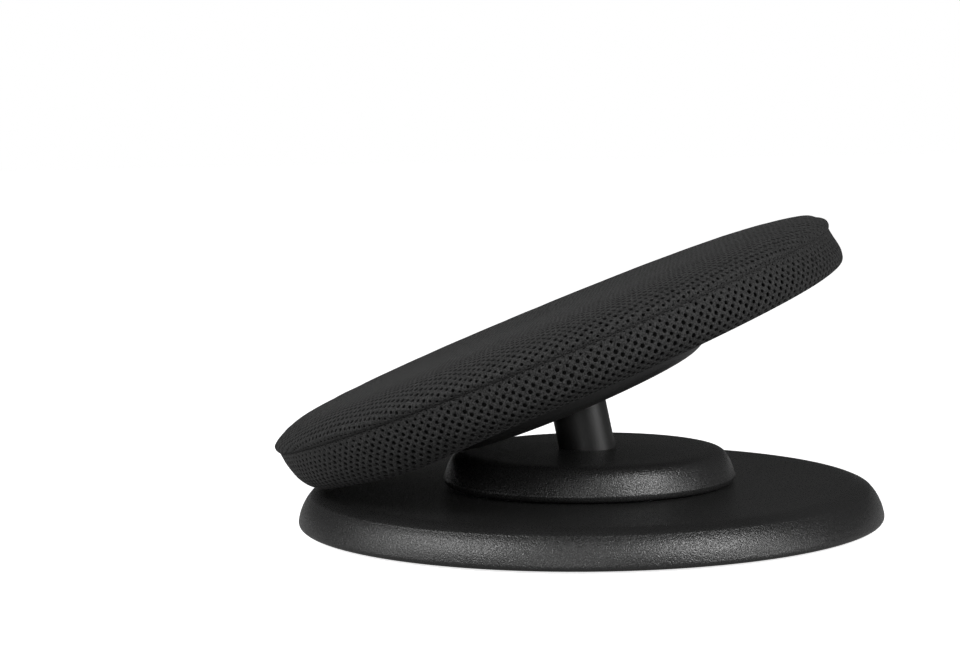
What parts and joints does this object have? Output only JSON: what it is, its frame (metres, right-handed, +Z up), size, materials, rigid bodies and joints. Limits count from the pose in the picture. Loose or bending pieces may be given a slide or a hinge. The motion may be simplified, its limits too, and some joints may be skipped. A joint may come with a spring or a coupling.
{
  "type": "wobble cushion",
  "caption": "Round wobble cushion: padded mesh-covered seat on a short post that pivots at both ends between two turntable bosses, over a large round base.",
  "frame": {"origin": "centre of the underside of the anti-slip mat, on the axis of the base, on the surface that the part stands on", "axes": "+Z up along the axis of the base; at rest the post and the seat lean towards -X, and the two tilt pins run along Y"},
  "size_m": [0.3413, 0.3356, 0.1713],
  "materials": {
    "grained_plastic": "black moulded plastic with a fine grain and a soft sheen",
    "black_steel": "satin black powder coat",
    "zinc_steel": "bright zinc plate",
    "bronze": "plain sintered bronze",
    "rubber": "matt black",
    "plywood": "bare birch plywood",
    "foam": "open-cell foam",
    "mesh_fabric": "black knitted spacer mesh with round holes",
    "piping": "black woven binding"
  },
  "bodies": {
    "base": {"base_shell": "grained_plastic", "base_plate": "zinc_steel", "anti_slip_mat": "rubber", "base_screw_1": "zinc_steel", "base_screw_2": "zinc_steel", "base_screw_3": "zinc_steel", "base_screw_4": "zinc_steel", "base_screw_5": "zinc_steel", "base_screw_6": "zinc_steel", "lower_fixed_race": "zinc_steel", "lower_race_screw_1": "zinc_steel", "lower_race_screw_2": "zinc_steel", "lower_race_screw_3": "zinc_steel", "lower_race_screw_4": "zinc_steel"},
    "lower_cage": {"lower_ball_cage": "zinc_steel"},
    "turntable": {"lower_turning_race": "zinc_steel", "lower_fork": "black_steel", "lower_stop_ring": "rubber", "lower_boss_cover": "grained_plastic", "lower_cover_screw_1": "zinc_steel", "lower_cover_screw_2": "zinc_steel", "lower_cover_screw_3": "zinc_steel", "lower_cover_screw_4": "zinc_steel", "lower_pivot_pin": "zinc_steel", "lower_pin_clip": "black_steel"},
    "post": {"post_core": "zinc_steel", "post_sleeve": "black_steel", "lower_bush": "bronze", "upper_bush": "bronze"},
    "upper_hub": {"upper_turning_race": "zinc_steel", "upper_fork": "black_steel", "upper_stop_ring": "rubber", "upper_boss_cover": "grained_plastic", "upper_cover_screw_1": "zinc_steel", "upper_cover_screw_2": "zinc_steel", "upper_cover_screw_3": "zinc_steel", "upper_cover_screw_4": "zinc_steel", "upper_pivot_pin": "zinc_steel", "upper_pin_clip": "black_steel"},
    "upper_cage": {"upper_ball_cage": "zinc_steel"},
    "seat": {"seat_board": "plywood", "foam_pad": "foam", "cover_top_panel": "mesh_fabric", "cover_side_panel": "mesh_fabric", "cover_piping": "piping", "cover_hem_cord": "rubber", "upper_fixed_race": "zinc_steel", "upper_race_screw_1": "zinc_steel", "upper_race_screw_2": "zinc_steel", "upper_race_screw_3": "zinc_steel", "upper_race_screw_4": "zinc_steel"}
  },
  "joints": [
    {"name": "base_swivel", "type": "hinge", "parent": "base", "child": "turntable", "pos_m": [0, 0, 0.021], "axis": [0, 0, 1], "continuous": true},
    {"name": "lower_cage_roll", "type": "hinge", "parent": "base", "child": "lower_cage", "pos_m": [0, 0, 0.021], "axis": [0, 0, 1], "continuous": true},
    {"name": "lower_tilt", "type": "hinge", "parent": "turntable", "child": "post", "pos_m": [0, 0, 0.037], "axis": [0, 1, 0], "range_deg": [0, 22.2]},
    {"name": "upper_tilt", "type": "hinge", "parent": "post", "child": "upper_hub", "pos_m": [-0.00616, 0, 0.0684], "axis": [0, 1, 0], "range_deg": [0, 22.2]},
    {"name": "seat_swivel", "type": "hinge", "parent": "upper_hub", "child": "seat", "pos_m": [-0.01221, 0, 0.08321], "axis": [-0.3778, 0, 0.9259], "continuous": true},
    {"name": "upper_cage_roll", "type": "hinge", "parent": "upper_hub", "child": "upper_cage", "pos_m": [-0.01221, 0, 0.08321], "axis": [-0.3778, 0, 0.9259], "continuous": true}
  ],
  "couplings": [
    {"joint": "lower_cage_roll", "follows": "base_swivel", "ratio": 0.5},
    {"joint": "upper_cage_roll", "follows": "seat_swivel", "ratio": 0.5}
  ]
}
